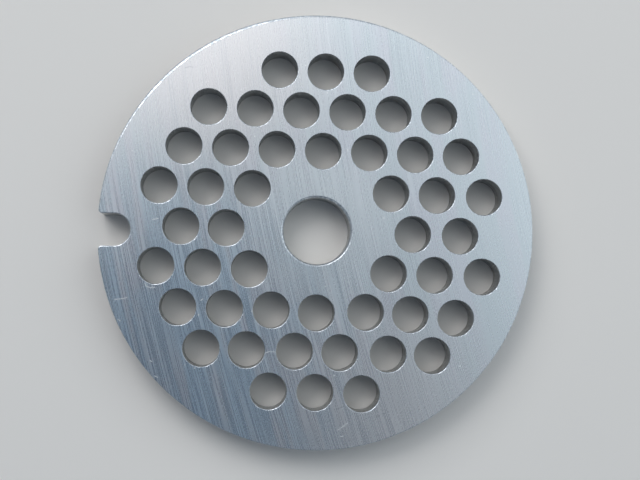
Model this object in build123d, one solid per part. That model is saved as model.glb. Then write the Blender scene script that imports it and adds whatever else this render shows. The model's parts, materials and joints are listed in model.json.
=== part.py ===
from build123d import *
import math
import os

# Hole plate of a size 8 meat grinder: one flat steel disc, turned, drilled and ground.
# The origin is on the bore's axis, at the underside. +Z runs along the bore, and the key
# notch points along -X. Sizes are in millimetres and angles in degrees.

# Turned disc, bevelled at 45 degrees on both edges of its rim
PLATE_DIAMETER = 62.0
PLATE_THICKNESS = 5.0
RIM_BEVEL = 0.4

# Bore that turns on the stud of the feed screw
BORE_DIAMETER = 9.5
BORE_BEVEL = 0.3

# Round-ended key notch that takes the locating pin of the grinder's head
NOTCH_WIDTH = 4.6
NOTCH_DEPTH = 4.5
NOTCH_BEVEL = 0.2
NOTCH_MOUTH_RADIUS = 0.5

# Meat holes, drilled wherever a staggered grid leaves enough metal round them. Their edges
# stay sharp, because the knife cuts against them.
HOLE_DIAMETER = 5.2
HOLE_PITCH = 6.6
LEAST_WALL = 2.4

# The drilled grid sits off centre, away from the notch, and its rows run off the notch's axis
GRID_SHIFT = 0.5
GRID_TURN = -1.4

# Holes that the drill left off their place in the grid: (row, place in the row): (x, y)
DRILL_WANDER = {
    (1, 3.5): (0.2, 0.0),
    (0, -2.0): (-0.2, 0.0),
    (0, 3.0): (0.2, 0.0),
    (-1, 3.5): (0.2, 0.0),
    (-2, 0.0): (-0.2, -0.2),
    (-2, 1.0): (0.2, 0.1),
    (-2, 3.0): (-0.1, -0.3),
    (-3, -2.5): (0.2, 0.0),
    (-3, -0.5): (0.2, 0.0),
    (-3, 1.5): (0.3, 0.0),
}

PLATE_RADIUS = PLATE_DIAMETER / 2
NOTCH_END = Vector(NOTCH_DEPTH - NOTCH_WIDTH / 2 - PLATE_RADIUS, 0)


def turned_disc():
    """Disc with its bore, revolved from one section."""
    bore_radius = BORE_DIAMETER / 2
    section = Polyline(
        (bore_radius + BORE_BEVEL, 0, 0),
        (PLATE_RADIUS - RIM_BEVEL, 0, 0),
        (PLATE_RADIUS, 0, RIM_BEVEL),
        (PLATE_RADIUS, 0, PLATE_THICKNESS - RIM_BEVEL),
        (PLATE_RADIUS - RIM_BEVEL, 0, PLATE_THICKNESS),
        (bore_radius + BORE_BEVEL, 0, PLATE_THICKNESS),
        (bore_radius, 0, PLATE_THICKNESS - BORE_BEVEL),
        (bore_radius, 0, BORE_BEVEL),
        close=True,
    )
    return revolve(make_face(section), Axis.Z)


def notched_slab():
    """Slab in the plate's outline, with the notch's mouth rounded and its edges bevelled."""
    channel = Rectangle(NOTCH_DEPTH, NOTCH_WIDTH, align=(Align.MAX, Align.CENTER))
    outline = Circle(PLATE_RADIUS) - Pos(NOTCH_END) * (Circle(NOTCH_WIDTH / 2) + channel)
    mouth_corners = outline.vertices().sort_by(Axis.X)[:2]
    slab = extrude(fillet(mouth_corners, NOTCH_MOUTH_RADIUS), PLATE_THICKNESS)
    return chamfer(slab.faces().filter_by(Axis.Z).edges(), NOTCH_BEVEL)


def has_room(centre):
    """True where a hole leaves enough metal to the bore, the rim and the notch."""
    wall_to_bore = centre.length - (BORE_DIAMETER + HOLE_DIAMETER) / 2
    wall_to_rim = PLATE_RADIUS - centre.length - HOLE_DIAMETER / 2
    wall_to_notch = (centre - NOTCH_END).length - (NOTCH_WIDTH + HOLE_DIAMETER) / 2
    return min(wall_to_bore, wall_to_rim, wall_to_notch) >= LEAST_WALL


def hole_centres():
    """Centres of the meat holes, row by row on the staggered grid."""
    row_spacing = HOLE_PITCH * math.sqrt(3) / 2
    reach = math.ceil(PLATE_DIAMETER / HOLE_PITCH)
    centres = []
    for row in range(-reach, reach + 1):
        stagger = (row % 2) / 2
        for column in range(-reach, reach + 1):
            place = column + stagger
            on_grid = Vector(place * HOLE_PITCH, row * row_spacing).rotate(Axis.Z, GRID_TURN)
            centre = on_grid + Vector(GRID_SHIFT, 0)
            if has_room(centre):
                centres.append(centre + Vector(*DRILL_WANDER.get((row, place), (0, 0))))
    return centres


drills = [
    Pos(centre) * Cylinder(HOLE_DIAMETER / 2, 3 * PLATE_THICKNESS)
    for centre in hole_centres()
]
plate = (turned_disc() & notched_slab()) - drills

os.makedirs("parts", exist_ok=True)
export_step(plate, "parts/grinder_plate.step")
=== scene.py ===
import json
import math
from collections import Counter

import bpy
import numpy as np
from mathutils import Matrix, Vector
from mathutils.geometry import delaunay_2d_cdt


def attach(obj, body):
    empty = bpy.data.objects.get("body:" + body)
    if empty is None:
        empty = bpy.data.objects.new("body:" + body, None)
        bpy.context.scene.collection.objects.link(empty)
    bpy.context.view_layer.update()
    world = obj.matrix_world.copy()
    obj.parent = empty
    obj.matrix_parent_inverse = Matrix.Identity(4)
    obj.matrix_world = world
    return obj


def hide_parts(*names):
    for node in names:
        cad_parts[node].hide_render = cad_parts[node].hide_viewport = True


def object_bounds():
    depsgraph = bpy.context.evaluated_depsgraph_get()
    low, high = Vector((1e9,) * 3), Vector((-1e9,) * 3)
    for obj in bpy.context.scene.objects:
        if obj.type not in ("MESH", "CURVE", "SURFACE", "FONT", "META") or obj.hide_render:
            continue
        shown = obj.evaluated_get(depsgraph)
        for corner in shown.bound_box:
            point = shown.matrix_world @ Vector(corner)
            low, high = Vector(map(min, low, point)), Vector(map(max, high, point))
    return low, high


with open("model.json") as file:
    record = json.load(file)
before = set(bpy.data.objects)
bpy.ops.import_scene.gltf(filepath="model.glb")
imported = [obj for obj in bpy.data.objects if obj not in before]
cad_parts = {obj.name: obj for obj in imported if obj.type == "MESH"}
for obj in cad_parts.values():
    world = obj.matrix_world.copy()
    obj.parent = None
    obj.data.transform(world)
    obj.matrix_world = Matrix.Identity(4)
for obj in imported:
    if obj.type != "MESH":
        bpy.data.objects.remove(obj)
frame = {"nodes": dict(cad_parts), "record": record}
cad_low, cad_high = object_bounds()

MM = 0.001
PLATE = frame["nodes"]["grinder_plate"]
TOP = cad_high.z
BOTTOM = cad_low.z
MOUNTS = {mount["name"]: mount for mount in frame["record"]["mounts"]}

# The dressed plate stays this far inside the solid's box
CLEARANCE = 0.006 * MM

# The plate's outline in plan, and how far each edge is broken
PLATE_RADIUS = cad_high.y - CLEARANCE
BORE_RADIUS = MOUNTS["bore"]["dims"]["r_mm"] * MM
RIM_BEVEL = 0.09 * MM
# The rim's bevel is wider round one side, at this angle from +X towards +Y
WORN_BEVEL = 0.4 * MM
WORN_SIDE = math.radians(122)
WORN_REACH = math.radians(40)
# The key notch, which the photograph shows a little off the bore's line
NOTCH_WIDTH = 4.6 * MM
NOTCH_DEPTH = 4.62 * MM
NOTCH_SHIFT = -0.14 * MM
NOTCH_BEVEL = 0.12 * MM
NOTCH_MOUTH_RADIUS = 0.5 * MM
# A meat hole's edge where it is sharpest, and what the highest burr adds to it
HOLE_EDGE = 0.035 * MM
HOLE_BURR = 0.085 * MM

# How finely the outlines are divided
RIM_SEGMENTS = 560
MOUTH_SEGMENTS = 12
FLANK_SEGMENTS = 16
NOTCH_END_SEGMENTS = 56
BORE_SEGMENTS = 220
HOLE_SEGMENTS = 112

# A rotary grinder left long arcs round this centre, in plan
GRIND_CENTRE = Vector((270, 60, 0)) * MM
# The wheel met the plate here first, and cut deepest; a painted blue reflection is centred here too
GRAIN_AND_BLUE_CENTRE = Vector((-22, -18, 5)) * MM
# A painted reflection tint: the face is painted less blue round these two places, as (centre, reach)
NEUTRAL_REFLECTION_PLACES = [
    (Vector((8, -29, 5)) * MM, 26 * MM),
    (Vector((-15, 25, 5)) * MM, 24 * MM),
]
# The grinder rolled a burr over on this side of each meat hole, counted from +X towards +Y
BURR_DIRECTION = math.radians(-62)
# Above 0, the burr reaches further round the hole than a half turn
BURR_REACH = 0.4


# ---------------------------------------------------------------- outlines

# A face whose normal rises at least this much looks straight up
FACES_UP = 0.99


def top_face_circles():
    """Centre and radius of each round opening in the CAD plate's top face."""
    mesh = PLATE.data
    edges = Counter(edge for polygon in mesh.polygons if polygon.normal.z >= FACES_UP
                    for edge in polygon.edge_keys)
    neighbours = {}
    for (a, b), uses in edges.items():
        if uses == 1:
            neighbours.setdefault(a, []).append(b)
            neighbours.setdefault(b, []).append(a)
    circles = []
    while neighbours:
        start = next(iter(neighbours))
        loop = [start]
        ahead = neighbours.pop(start)[0]
        while ahead in neighbours:
            loop.append(ahead)
            pair = neighbours.pop(ahead)
            ahead = pair[0] if pair[0] in neighbours else pair[1]
        points = np.array([mesh.vertices[i].co[:2] for i in loop])
        centre = points.mean(0)
        radius = np.linalg.norm(points - centre, axis=1).mean()
        is_rim = radius > PLATE_RADIUS / 2
        if not is_rim:
            circles.append((centre, radius))
    return sorted(circles, key=lambda circle: (-round(circle[0][1], 3), circle[0][0]))


def circle_outline(centre, radius, segments):
    """Points round an opening, and the direction into the opening at each."""
    angles = np.linspace(0, 2 * math.pi, segments, endpoint=False)
    outwards = np.stack([np.cos(angles), np.sin(angles)], axis=1)
    return centre + radius * outwards, -outwards


def rim_bevel(angles):
    """Bevel of the rim at each angle."""
    away = (np.asarray(angles) - WORN_SIDE + math.pi) % (2 * math.pi) - math.pi
    return RIM_BEVEL + WORN_BEVEL * np.exp(-(away / WORN_REACH) ** 2)


def rim_outline():
    """Points round the rim and the key notch, the direction off the metal and the bevel at each."""
    half = NOTCH_WIDTH / 2
    end_x = NOTCH_DEPTH - half - PLATE_RADIUS
    upper, lower = NOTCH_SHIFT + half, NOTCH_SHIFT - half
    corners = []
    for corner_y in (upper + NOTCH_MOUTH_RADIUS, lower - NOTCH_MOUTH_RADIUS):
        corner_x = -math.sqrt((PLATE_RADIUS - NOTCH_MOUTH_RADIUS) ** 2 - corner_y ** 2)
        corners.append((corner_x, corner_y))
    first, last = corners
    start, stop = math.atan2(last[1], last[0]), math.atan2(first[1], first[0])
    stretches = []

    def arc(centre, radius, start, stop, segments, side, bevels=None):
        angles = np.linspace(start, stop, segments, endpoint=False)
        spokes = np.stack([np.cos(angles), np.sin(angles)], axis=1)
        bevel = rim_bevel(angles)
        if bevels:
            bevel = np.linspace(*bevels, segments, endpoint=False)
        stretches.append((np.array(centre) + radius * spokes, side * spokes, bevel))

    def line(start, stop, normal, segments):
        share = np.linspace(0, 1, segments, endpoint=False)[:, None]
        points = np.array(start) + share * (np.array(stop) - np.array(start))
        normals = np.tile(np.array(normal, float), (segments, 1))
        stretches.append((points, normals, np.full(segments, NOTCH_BEVEL)))

    notch = NOTCH_BEVEL
    arc((0, 0), PLATE_RADIUS, start, stop, RIM_SEGMENTS, 1)
    arc(first, NOTCH_MOUTH_RADIUS, stop, 1.5 * math.pi, MOUTH_SEGMENTS, 1, (rim_bevel(stop), notch))
    line((first[0], upper), (end_x, upper), (0, -1), FLANK_SEGMENTS)
    arc((end_x, NOTCH_SHIFT), half, math.pi / 2, -math.pi / 2, NOTCH_END_SEGMENTS, -1, (notch, notch))
    line((end_x, lower), (last[0], lower), (0, 1), FLANK_SEGMENTS)
    arc(last, NOTCH_MOUTH_RADIUS, math.pi / 2, 2 * math.pi + start, MOUTH_SEGMENTS, 1,
        (notch, rim_bevel(start)))
    return [np.concatenate(part) for part in zip(*stretches)]


# ---------------------------------------------------------------- mesh

FACE, EDGE, WALL, RIM = range(4)
# The flat face starts this far off an opening's wall
FACE_MARGIN = 0.5 * MM
# What the triangulation gives back, and how near two of its points may lie, in millimetres
CONSTRAINED_WITH_HOLES = 4
JOIN_DISTANCE = 1e-6


def edge_section(steps, roundness):
    """Section of an edge as (inset from the wall, depth below the face), for an edge of size 1.

    A roundness of 1 is a quarter circle and 0 is a flat bevel at 45 degrees.
    """
    section = []
    for turn in np.linspace(0, math.pi / 2, steps):
        inset, depth = 1 - math.sin(turn), 1 - math.cos(turn)
        spare = (1 - roundness) * (1 - inset - depth) / 2
        section.append((inset + spare, depth + spare))
    return section


EDGE_STEPS = 6
RIM_SECTION = [(1, 0), (0.92, 0.012), (0.55, 0.14), (0.25, 0.28), (0.09, 0.47), (0.02, 0.75), (0, 1)]
BORE_SECTION = edge_section(EDGE_STEPS, 0.5)
HOLE_SECTION = edge_section(EDGE_STEPS, 1.0)


class Shell:
    """Vertices and faces of the plate, gathered band by band."""

    def __init__(self):
        self.points = []
        self.faces = []
        self.materials = []
        self.top_rings = []
        self.bottom_rings = []

    def ring(self, plan, height):
        """Adds a closed ring of vertices."""
        start = len(self.points)
        self.points += [(x, y, z) for (x, y), z in zip(plan, height)]
        return list(range(start, start + len(plan)))

    def band(self, upper, lower, material, flipped):
        """Joins two rings with a band of faces."""
        count = len(upper)
        for i in range(count):
            j = (i + 1) % count
            quad = (upper[i], lower[i], lower[j], upper[j])
            self.faces.append(quad[::-1] if flipped else quad)
            self.materials.append(material)

    def collar(self, outline, off_metal, top_size, bottom_size, section, edge, wall, margin=0):
        """The band that joins the top and bottom faces along one outline.

        The sizes are those of the top and the bottom edge at each point. An opening has a margin of
        flat face round it, and the rim has none.
        """
        rings = []
        for size, face, side in ((top_size, TOP, -1), (bottom_size, BOTTOM, 1)):
            half = []
            if margin:
                half.append(self.ring(outline - margin * off_metal, np.full(len(size), face)))
            for inset, depth in section:
                plan = outline - off_metal * (inset * size)[:, None]
                half.append(self.ring(plan, face + side * depth * size))
            rings.append(half)
        top, bottom = rings
        self.top_rings.append(top[0])
        self.bottom_rings.append(bottom[0])
        chain = top + bottom[::-1]
        for i, (upper, lower) in enumerate(zip(chain, chain[1:])):
            material = edge
            if i == len(top) - 1:
                material = wall
            elif margin and i in (0, len(chain) - 2):
                material = FACE
            self.band(upper, lower, material, not margin)

    def face(self, rings, upwards):
        """Fills the flat face between its outer ring, which comes first, and the openings' rings."""
        indices = [i for ring in rings for i in ring]
        owners = {index: number for number, ring in enumerate(rings) for index in ring}
        places = {index: place for place, index in enumerate(indices)}
        plan = [Vector(self.points[i][:2]) / MM for i in indices]
        edges = [(places[a], places[b]) for ring in rings
                 for a, b in zip(ring, ring[1:] + ring[:1])]
        _, _, triangles, origins, _, _ = delaunay_2d_cdt(
            plan, edges, [], CONSTRAINED_WITH_HOLES, JOIN_DISTANCE)
        for triangle in triangles:
            corners = [indices[origins[i][0]] for i in triangle]
            opening = {owners[corner] for corner in corners}
            if len(opening) == 1 and opening != {0}:
                continue
            self.faces.append(tuple(corners if upwards else corners[::-1]))
            self.materials.append(FACE)


# How the size of an edge wanders round it, as (waves round the edge, share)
WANDER = [(1, 0.35), (2, 0.3), (3, 0.3), (5, 0.3), (9, 0.25), (17, 0.25), (31, 0.2)]
TREMBLE = 0.3
LEAST_FACTOR = 0.4
MOST_FACTOR = 2.2


def uneven(count, seed, spread, chips):
    """Factor on an edge's size round its outline: it wanders, trembles and has a few chips."""
    draw = np.random.RandomState(seed)
    angles = np.linspace(0, 2 * math.pi, count, endpoint=False)
    wobble = np.zeros(count)
    for waves, share in WANDER:
        height = share * draw.uniform(0.3, 1)
        wobble += height * np.sin(waves * angles + draw.uniform(0, 2 * math.pi))
    wobble += draw.normal(0, TREMBLE, count)
    for place in draw.uniform(0, 2 * math.pi, chips):
        away = np.abs((angles - place + math.pi) % (2 * math.pi) - math.pi)
        wobble += draw.uniform(0.8, 1.6) * np.exp(-(away / draw.uniform(0.03, 0.09)) ** 2)
    return np.clip(1 + spread * wobble, LEAST_FACTOR, MOST_FACTOR)


# How unevenly the rim's and the bore's edges are worn, and the meat holes'
WORN_SPREAD = 0.05
BURR_SPREAD = 0.3
RIM_CHIPS, BORE_CHIPS, HOLE_CHIPS = 10, 8, 9
FIRST_HOLE_SEED = 100


def hole_edge(seed):
    """Size of a meat hole's edge round it: the grinder rolled a burr over on the side it left by."""
    angles = np.linspace(0, 2 * math.pi, HOLE_SEGMENTS, endpoint=False)
    burr = np.clip(BURR_REACH + np.cos(angles - BURR_DIRECTION), 0, None) / (BURR_REACH + 1)
    return (HOLE_EDGE + HOLE_BURR * burr) * uneven(HOLE_SEGMENTS, seed, BURR_SPREAD, HOLE_CHIPS)


def build_plate():
    """The dressed plate. Its bore and meat holes are where the solid has them."""
    shell = Shell()
    outline, off_metal, bevel = rim_outline()
    sizes = [bevel * uneven(len(bevel), seed, WORN_SPREAD, RIM_CHIPS) for seed in (1, 2)]
    shell.collar(outline, off_metal, *sizes, RIM_SECTION, EDGE, RIM)
    for number, (centre, radius) in enumerate(top_face_circles()):
        is_bore = np.hypot(*centre) < BORE_RADIUS
        if is_bore:
            outline, off_metal = circle_outline(centre, BORE_RADIUS, BORE_SEGMENTS)
            bevel = radius - BORE_RADIUS
            sizes = [bevel * uneven(BORE_SEGMENTS, seed, WORN_SPREAD, BORE_CHIPS) for seed in (3, 4)]
            shell.collar(outline, off_metal, *sizes, BORE_SECTION, EDGE, WALL, FACE_MARGIN)
        else:
            outline, off_metal = circle_outline(centre, radius, HOLE_SEGMENTS)
            sizes = [hole_edge(FIRST_HOLE_SEED + 2 * number + side) for side in (0, 1)]
            shell.collar(outline, off_metal, *sizes, HOLE_SECTION, EDGE, WALL, FACE_MARGIN)
    shell.face(shell.top_rings, True)
    shell.face(shell.bottom_rings, False)

    mesh = bpy.data.meshes.new("ground_plate")
    mesh.from_pydata(shell.points, [], shell.faces)
    mesh.polygons.foreach_set("material_index", shell.materials)
    mesh.polygons.foreach_set("use_smooth", [material != FACE for material in shell.materials])
    mesh.validate()
    mesh.update()
    piece = bpy.data.objects.new("ground_plate", mesh)
    bpy.context.scene.collection.objects.link(piece)
    return piece


# ---------------------------------------------------------------- materials

# Leaves out the height of a place
IN_PLAN = (1, 1, 0)
BUMP_DEPTH = 0.02 * MM
# A scratch is at its full strength over this share of its width
SCRATCH_WIDTH = 0.085 * MM
SCRATCH_CORE = 0.3


class Nodes:
    """Short hand for building a node tree."""

    def __init__(self, tree):
        self.tree = tree

    def put(self, socket, value):
        """Links a socket into another, or sets its value."""
        if isinstance(value, bpy.types.NodeSocket):
            self.tree.links.new(value, socket)
        else:
            socket.default_value = value

    def shade(self, socket, value):
        """Sets a socket of the material's shader."""
        self.put(self.tree.nodes["Principled BSDF"].inputs[socket], value)

    def add(self, kind, inputs=None, output=0, **settings):
        """Adds a node with the given inputs and settings, and gives one of its outputs."""
        node = self.tree.nodes.new(kind)
        for key, value in settings.items():
            setattr(node, key, value)
        for key, value in (inputs or {}).items():
            self.put(node.inputs[key], value)
        return node.outputs[output]

    def math(self, operation, *values, clamp=False):
        inputs = dict(enumerate(values))
        return self.add("ShaderNodeMath", inputs, operation=operation, use_clamp=clamp)

    def times(self, first, second):
        return self.math("MULTIPLY", first, second)

    def plus(self, first, second):
        return self.math("ADD", first, second)

    def most(self, values):
        """The largest of the values."""
        result = values[0]
        for value in values[1:]:
            result = self.math("MAXIMUM", result, value)
        return result

    def vector(self, operation, *values):
        """A vector worked out from vectors."""
        return self.add("ShaderNodeVectorMath", dict(enumerate(values)), operation=operation)

    def measure(self, operation, *values):
        """A number worked out from vectors, such as their distance."""
        return self.add("ShaderNodeVectorMath", dict(enumerate(values)), output=1, operation=operation)

    def split(self, vector):
        """The X, Y and Z of a vector."""
        node = self.tree.nodes.new("ShaderNodeSeparateXYZ")
        self.put(node.inputs[0], vector)
        return node.outputs

    def place(self):
        """The place on the object, in metres."""
        return self.add("ShaderNodeTexCoord", output=3)

    def noise(self, place, scale, detail=0.0):
        """Noise with the given number of cells in each unit of the place."""
        return self.add("ShaderNodeTexNoise", {"Vector": place, "Scale": scale, "Detail": detail})

    def grain(self, size, seed, detail=0.0):
        """Noise with cells of the given size along X, Y and Z."""
        cells = self.vector("MULTIPLY", self.place(), [1 / side for side in size])
        return self.noise(self.vector("ADD", cells, (seed, seed, seed)), 1.0, detail)

    def ramp(self, value, low, high, start=0.0, stop=1.0):
        """Goes smoothly from start to stop while the value goes from low to high."""
        return self.add("ShaderNodeMapRange", {0: value, 1: low, 2: high, 3: start, 4: stop},
                        interpolation_type="SMOOTHSTEP")

    def mix(self, share, first, second):
        """Mixes two colours. The mix node's colours are its inputs 6 and 7, and its output 2."""
        return self.add("ShaderNodeMix", {0: share, 6: first, 7: second}, output=2, data_type="RGBA")

    def bump(self, height, strength):
        self.shade("Normal", self.add("ShaderNodeBump", {
            "Height": height, "Strength": strength, "Distance": BUMP_DEPTH}))

    def scratch(self, place, start, stop):
        """1 on a straight scratch between two places in plan, and 0 away from it."""
        run = Vector(stop) - Vector(start)
        apart = self.vector("MULTIPLY", self.vector("SUBTRACT", place, (*start, 0)), IN_PLAN)
        share = self.measure("DOT_PRODUCT", apart, (*(run / run.length_squared), 0))
        share = self.math("ADD", share, 0.0, clamp=True)
        nearest = self.add("ShaderNodeVectorMath", {0: (*run, 0), 3: share}, operation="SCALE")
        distance = self.measure("DISTANCE", apart, nearest)
        return self.ramp(distance, SCRATCH_WIDTH, SCRATCH_CORE * SCRATCH_WIDTH)

    def scratches(self, place, strokes):
        """1 on any of the strokes, which are in millimetres."""
        return self.most([self.scratch(place, Vector(start) * MM, Vector(stop) * MM)
                          for start, stop in strokes])

    def seen(self):
        """1 for the rays that show a background: straight on, mirrored, or through glass."""
        path = self.tree.nodes.new("ShaderNodeLightPath")
        return self.most([path.outputs[name] for name in
                          ("Is Camera Ray", "Is Glossy Ray", "Is Transmission Ray")])


# Wear on the top face, as strokes in plan: (start, stop), in millimetres
LIGHT_SCRATCHES = [
    ((-28.4, -10.0), (-27.1, -9.85)), ((-27.1, -9.85), (-26.6, -9.65)),
    ((-7.3, -17.4), (-6.6, -17.15)), ((-6.6, -17.15), (-5.7, -17.2)),
    ((4.6, -27.15), (3.2, -28.15)), ((3.6, -29.0), (4.0, -29.0)),
    ((-24.2, -7.7), (-24.0, -8.1)), ((-24.0, -8.1), (-23.3, -8.3)),
    ((-23.3, -8.3), (-22.8, -8.2)), ((5.0, -30.5), (5.4, -30.4)),
    ((-16.3, -10.0), (-16.0, -9.8)), ((-23.3, -18.5), (-23.0, -18.7)),
    ((-22.6, -20.7), (-22.15, -20.85)), ((-27.85, -12.8), (-27.5, -13.0)),
    ((-15.0, -12.6), (-14.8, -12.85)), ((-23.3, 1.3), (-22.5, 1.5)),
]
DARK_SCRATCHES = [
    ((3.0, -25.2), (3.8, -24.9)), ((8.6, -26.3), (9.1, -26.0)),
    ((-19.0, 23.0), (-18.3, 23.2)), ((-18.3, 23.2), (-17.9, 23.1)),
    ((11.3, 16.2), (11.8, 16.1)), ((9.5, -25.85), (10.05, -25.7)),
    ((-25.7, 3.6), (-25.35, 0.95)), ((-25.35, 0.95), (-24.75, -2.45)),
    ((-22.65, 3.25), (-22.2, 1.0)),
]

# The grinder's grooves, as (width, length, detail, seed)
GROOVES = {
    "fine": (0.13 * MM, 11 * MM, 0.0, 3.0),
    "medium": (0.26 * MM, 20 * MM, 0.0, 17.0),
    "bold": (0.8 * MM, 34 * MM, 0.0, 31.0),
    "broad": (2.4 * MM, 45 * MM, 2.0, 47.0),
    "bright": (0.2 * MM, 22 * MM, 0.0, 59.0),
    "dark": (0.2 * MM, 26 * MM, 0.0, 71.0),
}
# How much each goes into the height of the face, and the height halfway
GROOVE_SHARES = {"fine": 0.62, "medium": 0.25, "bold": 0.1}
GRIT_SHARE = 0.1
MEAN_HEIGHT = 0.535
# The heights between which the colour and the roughness change
VALLEY, CREST = -0.14, 0.16
# How deep the grooves are where the wheel met the plate, and from this far on
DEEP_GRAIN, SHALLOW_GRAIN = 2.25, 0.85
GRAIN_FADE = 42 * MM

# Cells of noise in a metre
GRIT_SCALE = 6500.0
BLOTCH_SCALE = 140.0
SPECK_SCALE = 620.0
SPECK_CHOICE_SCALE = 900.0

# The hub's rub and the painted blue reflection: from nothing at the first distance to full at the
# second
HUB_RUB = (15 * MM, 6 * MM)
BLUE_REFLECTION_REACH = (34 * MM, 8 * MM)

GROUND_VALLEY = (0.69, 0.76, 0.80, 1)
GROUND_CREST = (0.71, 0.78, 0.82, 1)
LAVENDER = (0.735, 0.75, 0.815, 1)
# Painted reflection tint, less blue
NEUTRAL_REFLECTION = (0.80, 0.79, 0.80, 1)
HUB_RUBBED = (0.83, 0.89, 0.92, 1)
# Painted blue reflection
PAINTED_BLUE_REFLECTION = (0.655, 0.775, 0.88, 1)
# Painted highlight colour of some cuts
CUT_HIGHLIGHT = (0.82, 0.86, 0.89, 1)
# Darker colour of some cuts
DARKER_CUT_COLOUR = (0.42, 0.48, 0.56, 1)
LIGHT_SCRATCH = (0.88, 0.9, 0.92, 1)
DARK_SCRATCH = (0.25, 0.28, 0.32, 1)
# Roughness in a groove's valley and on its crest
FACE_ROUGHNESS = (0.255, 0.315)
FACE_ANISOTROPY = 0.6


def new_steel(name):
    """A metal material and its nodes."""
    material = bpy.data.materials.new(name)
    material.use_nodes = True
    nodes = Nodes(material.node_tree)
    nodes.shade("Metallic", 1.0)
    return material, nodes


def grinder_grooves(nodes, place):
    """Noise drawn out along the grinder's arcs, by name, and the direction across the arcs."""
    spoke = nodes.vector("SUBTRACT", place, GRIND_CENTRE)
    flat_spoke = nodes.vector("MULTIPLY", spoke, IN_PLAN)
    across = nodes.measure("LENGTH", flat_spoke)
    x, y, _ = nodes.split(spoke)
    turn = nodes.math("ARCTAN2", nodes.times(y, -1.0), nodes.times(x, -1.0))
    along = nodes.times(turn, GRIND_CENTRE.length)
    grooves = {}
    for name, (width, length, detail, seed) in GROOVES.items():
        cell = {0: nodes.math("DIVIDE", across, width), 1: nodes.math("DIVIDE", along, length), 2: seed}
        grooves[name] = nodes.noise(nodes.add("ShaderNodeCombineXYZ", cell), 1.0, detail)
    return grooves, nodes.vector("NORMALIZE", flat_spoke)


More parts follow.
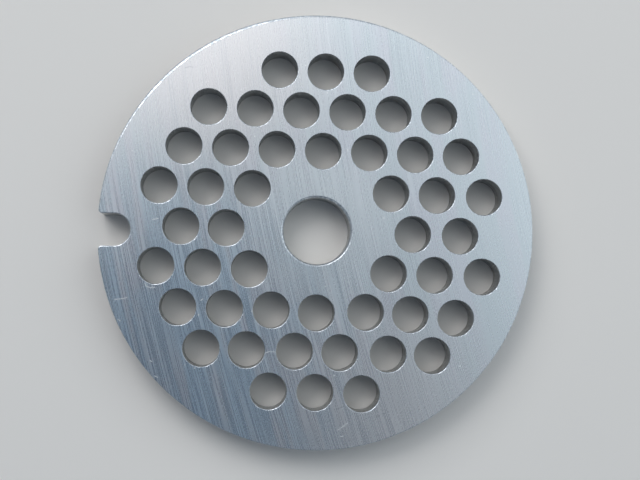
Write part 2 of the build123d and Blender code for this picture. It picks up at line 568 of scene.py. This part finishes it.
def ground_face():
    """Both faces: arcs left by the grinder, tinted in patches, with painted reflection tints, a painted
    highlight on some cuts, and the top's scratches.
    """
    material, nodes = new_steel("ground_face")
    place = nodes.place()
    grooves, across = grinder_grooves(nodes, place)
    grit = nodes.noise(place, GRIT_SCALE)
    blotch = nodes.noise(place, BLOTCH_SCALE, 2.0)
    met = nodes.measure("DISTANCE", place, GRAIN_AND_BLUE_CENTRE)

    # Even grain, deeper in some patches than in others, and deepest where the wheel met the plate
    depth = nodes.times(nodes.ramp(blotch, 0.3, 0.7, 0.55, 1.05),
                        nodes.ramp(met, 0.0, GRAIN_FADE, DEEP_GRAIN, SHALLOW_GRAIN))
    height = nodes.times(grit, GRIT_SHARE)
    for name, share in GROOVE_SHARES.items():
        height = nodes.plus(height, nodes.times(grooves[name], share))
    height = nodes.times(nodes.math("SUBTRACT", height, MEAN_HEIGHT), depth)
    # Single deeper cuts, in clusters: some get a painted highlight, and some are darker
    cut = nodes.times(nodes.ramp(grooves["bright"], 0.64, 0.72),
                      nodes.ramp(grooves["broad"], 0.38, 0.6))
    cut = nodes.times(cut, nodes.ramp(met, 14 * MM, 40 * MM, 1.0, 0.75))
    darker_cut = nodes.times(nodes.ramp(grooves["dark"], 0.64, 0.72),
                        nodes.ramp(grooves["broad"], 0.62, 0.4))
    darker_cut = nodes.times(darker_cut, nodes.ramp(met, 14 * MM, 40 * MM, 1.0, 0.45))

    # Tints, from the steel's own colour to a painted blue reflection round where the wheel met the
    # plate
    colour = nodes.mix(nodes.ramp(height, VALLEY, CREST), GROUND_VALLEY, GROUND_CREST)
    lavender = nodes.times(nodes.ramp(grooves["broad"], 0.42, 0.62),
                           nodes.ramp(blotch, 0.3, 0.6, 0.3, 0.8))
    shade = nodes.times(lavender, nodes.ramp(met, 20 * MM, 46 * MM, 1.0, 0.75))
    colour = nodes.mix(shade, colour, LAVENDER)
    # Painted reflection tint: less blue round two places
    neutral_reflection = nodes.most([nodes.ramp(nodes.measure("DISTANCE", place, centre), reach, 0.15 * reach)
                          for centre, reach in NEUTRAL_REFLECTION_PLACES])
    colour = nodes.mix(nodes.times(neutral_reflection, 0.9), colour, NEUTRAL_REFLECTION)
    # The knife's hub has rubbed the steel brighter round the bore
    off_axis = nodes.measure("LENGTH", nodes.vector("MULTIPLY", place, IN_PLAN))
    hub = nodes.ramp(off_axis, *HUB_RUB)
    colour = nodes.mix(nodes.times(hub, 0.8), colour, HUB_RUBBED)
    # Painted blue reflection, strongest towards the lower left
    blue_reflection = nodes.times(nodes.ramp(met, *BLUE_REFLECTION_REACH), nodes.ramp(lavender, 0.8, 0.0, 0.1, 1.0))
    colour = nodes.mix(blue_reflection, colour, PAINTED_BLUE_REFLECTION)
    # Painted highlight on some single cuts
    colour = nodes.mix(nodes.times(cut, 0.25), colour, CUT_HIGHLIGHT)
    # Some single cuts are darker
    colour = nodes.mix(nodes.times(darker_cut, 0.3), colour, DARKER_CUT_COLOUR)

    # Scratches and specks, on the top face only
    on_top = nodes.ramp(nodes.split(place)[2], 0.5 * TOP, 0.9 * TOP)
    spots = nodes.add("ShaderNodeTexVoronoi", {"Vector": place, "Scale": SPECK_SCALE})
    picked = nodes.noise(place, SPECK_CHOICE_SCALE)
    speck = nodes.times(nodes.ramp(spots, 0.09, 0.05), nodes.ramp(picked, 0.6, 0.64))
    light = nodes.times(nodes.most([nodes.scratches(place, LIGHT_SCRATCHES), speck]), on_top)
    dark = nodes.times(nodes.scratches(place, DARK_SCRATCHES), on_top)
    colour = nodes.mix(nodes.times(light, 0.9), colour, LIGHT_SCRATCH)
    colour = nodes.mix(nodes.times(dark, 0.35), colour, DARK_SCRATCH)
    nodes.shade("Base Color", colour)

    rough = nodes.ramp(height, VALLEY, CREST, *FACE_ROUGHNESS)
    rough = nodes.plus(rough, nodes.times(cut, 0.06))
    nodes.shade("Roughness", nodes.plus(rough, nodes.times(light, 0.2)))
    nodes.shade("Anisotropic", FACE_ANISOTROPY)
    nodes.shade("Tangent", across)
    nodes.bump(nodes.math("SUBTRACT", height, nodes.times(darker_cut, 0.3)), 0.03)
    return material


EDGE_DULL = (0.44, 0.50, 0.56, 1)
EDGE_RUBBED = (0.76, 0.81, 0.86, 1)
EDGE_PATCH = (0.5, 0.53, 0.56, 1)
EDGE_ROUGHNESS = (0.44, 0.3)


def worn_edge():
    """The broken edges: bright where they are rubbed, dull between."""
    material, nodes = new_steel("worn_edge")
    rubbed = nodes.ramp(nodes.grain((0.35 * MM, 0.35 * MM, 0.35 * MM), 5.0, 2.0), 0.38, 0.64)
    patch = nodes.ramp(nodes.grain((3 * MM, 3 * MM, 3 * MM), 11.0, 1.0), 0.35, 0.65)
    colour = nodes.mix(rubbed, EDGE_DULL, EDGE_RUBBED)
    nodes.shade("Base Color", nodes.mix(nodes.times(patch, 0.5), colour, EDGE_PATCH))
    nodes.shade("Roughness", nodes.ramp(rubbed, 0.0, 1.0, *EDGE_ROUGHNESS))
    nodes.bump(rubbed, 0.25)
    return material


WALL_VALLEY = (0.36, 0.38, 0.39, 1)
WALL_CREST = (0.48, 0.50, 0.51, 1)
# Painted shade colour, towards the bottom of each hole
WALL_DEEP_SHADE = (0.25, 0.2, 0.16, 1)
WALL_ROUGHNESS = (0.24, 0.36)


def drilled_wall():
    """The holes' walls: rings left by the drill, and patches of painted shade, darker brown towards the
    bottom.
    """
    material, nodes = new_steel("drilled_wall")
    rings = nodes.grain((4 * MM, 4 * MM, 0.09 * MM), 3.0, 1.0)
    chatter = nodes.grain((0.5 * MM, 0.5 * MM, 2.2 * MM), 7.0)
    deep_shade = nodes.grain((1.6 * MM, 1.6 * MM, 1.1 * MM), 13.0, 3.0)
    cut = nodes.ramp(nodes.plus(nodes.times(rings, 0.65), nodes.times(chatter, 0.35)), 0.36, 0.64)
    low = nodes.ramp(nodes.split(nodes.place())[2], 0.75 * TOP, 0.1 * TOP)
    # Painted shade: patches of darker brown towards the bottom of each hole
    deep_shade = nodes.times(nodes.ramp(deep_shade, 0.42, 0.62), low)
    colour = nodes.mix(cut, WALL_VALLEY, WALL_CREST)
    nodes.shade("Base Color", nodes.mix(nodes.times(deep_shade, 0.55), colour, WALL_DEEP_SHADE))
    rough = nodes.ramp(cut, 0.0, 1.0, *WALL_ROUGHNESS)
    nodes.shade("Roughness", nodes.plus(rough, nodes.times(deep_shade, 0.18)))
    nodes.bump(cut, 0.35)
    return material


RIM_VALLEY = (0.41, 0.42, 0.43, 1)
RIM_CREST = (0.50, 0.51, 0.52, 1)
RIM_PATCH = (0.35, 0.33, 0.31, 1)
RIM_KNOCK = (0.66, 0.68, 0.7, 1)
RIM_ROUGHNESS = (0.26, 0.33)


def turned_rim():
    """The rim and the key notch: fine turning lines, dull patches and a few knocks."""
    material, nodes = new_steel("turned_rim")
    cut = nodes.ramp(nodes.grain((7 * MM, 7 * MM, 0.07 * MM), 17.0, 1.0), 0.34, 0.66)
    patch = nodes.ramp(nodes.grain((9 * MM, 9 * MM, 1.6 * MM), 23.0, 2.0), 0.4, 0.66)
    knocks = nodes.ramp(nodes.grain((0.9 * MM, 0.9 * MM, 0.35 * MM), 29.0), 0.7, 0.76)
    colour = nodes.mix(cut, RIM_VALLEY, RIM_CREST)
    colour = nodes.mix(nodes.times(patch, 0.45), colour, RIM_PATCH)
    nodes.shade("Base Color", nodes.mix(nodes.times(knocks, 0.6), colour, RIM_KNOCK))
    rough = nodes.ramp(cut, 0.0, 1.0, *RIM_ROUGHNESS)
    nodes.shade("Roughness", nodes.plus(rough, nodes.times(patch, 0.14)))
    nodes.bump(nodes.math("SUBTRACT", cut, knocks), 0.25)
    return material


# ---------------------------------------------------------------- the piece

plate = build_plate()
# In the order of FACE, EDGE, WALL and RIM
for material in (ground_face(), worn_edge(), drilled_wall(), turned_rim()):
    plate.data.materials.append(material)
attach(plate, "root")
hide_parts("grinder_plate")


# ---------------------------------------------------------------- stage and light

FLOOR_COLOUR = (0.85, 0.83, 0.80, 1)
FLOOR_ROUGHNESS = 0.7
FLOOR_REACH = 3.0
# What the floor fades to between these distances from the plate, and the sky at the horizon
BACKGROUND = (0.76, 0.76, 0.75, 1)
FADE_START = 0.14
FADE_END = 0.4

# Colours of the sky by the sine of the height above the horizon
HIGH_SKY = [(0.11, 0.15, 0.2, 1), (0.06, 0.085, 0.12, 1)]
SKY_THAT_LIGHTS = [(0.03, (0.78, 0.77, 0.75, 1)), (0.16, HIGH_SKY[0]), (0.8, HIGH_SKY[1])]
SKY_THAT_IS_SEEN = [(0.08, BACKGROUND), (0.42, HIGH_SKY[0]), (0.8, HIGH_SKY[1])]

# Square lamps that face the plate: azimuth from +X towards +Y and height above the floor, in
# degrees, width in metres, power in watts, and colour
LAMP_DISTANCE = 0.7
LAMPS = {
    "key": (122, 44, 0.45, 1.8, (1.0, 0.99, 0.98)),
    "crown": (130, 60, 0.45, 0.66, (1.0, 0.99, 0.98)),
    "fill": (60, 55, 0.8, 0.84, (1.0, 1.0, 1.0)),
    "low": (25, 40, 0.8, 0.6, (0.94, 0.99, 1.0)),
    "side": (2, 47, 0.8, 0.95, (0.92, 0.99, 1.0)),
    "front": (-60, 60, 0.8, 0.06, (1.0, 1.0, 1.0)),
}

# The photograph's camera, solved from the rim and the hole centres. The lens is in millimetres.
CAMERA_PLACE = Vector((-8.736, -9.566, 178.517)) * MM
CAMERA_AIM = Vector((0.4538, -1.2843, 5.0)) * MM
CAMERA_UP = Vector((-0.0122, 0.9988, 0.047))
CAMERA_LENS = 68.84
CAMERA_SENSOR = 36
CAMERA_RANGE = (0.01, 20)


def build_floor():
    """A pale floor that takes the plate's shadow and fades into the background far away."""
    mesh = bpy.data.meshes.new("floor")
    corners = [(-1, -1), (1, -1), (1, 1), (-1, 1)]
    points = [(FLOOR_REACH * x, FLOOR_REACH * y, BOTTOM) for x, y in corners]
    mesh.from_pydata(points, [], [(0, 1, 2, 3)])
    floor = bpy.data.objects.new("floor", mesh)
    bpy.context.scene.collection.objects.link(floor)
    material = bpy.data.materials.new("floor")
    material.use_nodes = True
    nodes = Nodes(material.node_tree)
    nodes.shade("Base Color", FLOOR_COLOUR)
    nodes.shade("Roughness", FLOOR_ROUGHNESS)
    away = nodes.measure("LENGTH", nodes.place())
    far = nodes.times(nodes.ramp(away, FADE_START, FADE_END), nodes.seen())
    lit = nodes.tree.nodes["Principled BSDF"].outputs[0]
    plain = nodes.add("ShaderNodeEmission", {"Color": BACKGROUND, "Strength": 1.0})
    surface = nodes.add("ShaderNodeMixShader", {0: far, 1: lit, 2: plain})
    nodes.put(nodes.tree.nodes["Material Output"].inputs["Surface"], surface)
    mesh.materials.append(material)


def build_world():
    """A dim blue sky. Where it is seen or mirrored, its horizon is as pale as the floor."""
    world = bpy.data.worlds.new("studio")
    bpy.context.scene.world = world
    world.use_nodes = True
    nodes = Nodes(world.node_tree)
    height = nodes.split(nodes.add("ShaderNodeTexCoord"))[2]
    skies = []
    for stops in (SKY_THAT_LIGHTS, SKY_THAT_IS_SEEN):
        node = nodes.tree.nodes.new("ShaderNodeValToRGB")
        nodes.put(node.inputs[0], height)
        # A new ramp has its first two stops already
        node.color_ramp.elements.new(1)
        for element, (position, colour) in zip(node.color_ramp.elements, stops):
            element.position = position
            element.color = colour
        skies.append(node.outputs[0])
    nodes.put(nodes.tree.nodes["Background"].inputs["Color"], nodes.mix(nodes.seen(), *skies))


def build_lamps():
    """The studio's lamps, all at one distance from the plate."""
    for name, (azimuth, height, width, power, colour) in LAMPS.items():
        turn, rise = math.radians(azimuth), math.radians(height)
        direction = Vector((math.cos(turn) * math.cos(rise), math.sin(turn) * math.cos(rise),
                            math.sin(rise)))
        data = bpy.data.lights.new(name, "AREA")
        data.shape = "SQUARE"
        data.size = width
        data.energy = power
        data.color = colour
        lamp = bpy.data.objects.new(name, data)
        lamp.location = direction * LAMP_DISTANCE
        lamp.rotation_mode = "QUATERNION"
        lamp.rotation_quaternion = (-direction).to_track_quat("-Z", "Y")
        bpy.context.scene.collection.objects.link(lamp)


def build_camera():
    """The photograph's camera."""
    forward = (CAMERA_AIM - CAMERA_PLACE).normalized()
    right = forward.cross(CAMERA_UP).normalized()
    data = bpy.data.cameras.new("camera")
    data.lens = CAMERA_LENS
    data.sensor_width = CAMERA_SENSOR
    data.clip_start, data.clip_end = CAMERA_RANGE
    camera = bpy.data.objects.new("camera", data)
    turn = Matrix((right, right.cross(forward), -forward)).transposed().to_4x4()
    camera.matrix_world = Matrix.Translation(CAMERA_PLACE) @ turn
    bpy.context.scene.collection.objects.link(camera)
    bpy.context.scene.camera = camera


build_floor()
build_world()
build_lamps()
build_camera()
bpy.context.scene.view_settings.view_transform = "Standard"
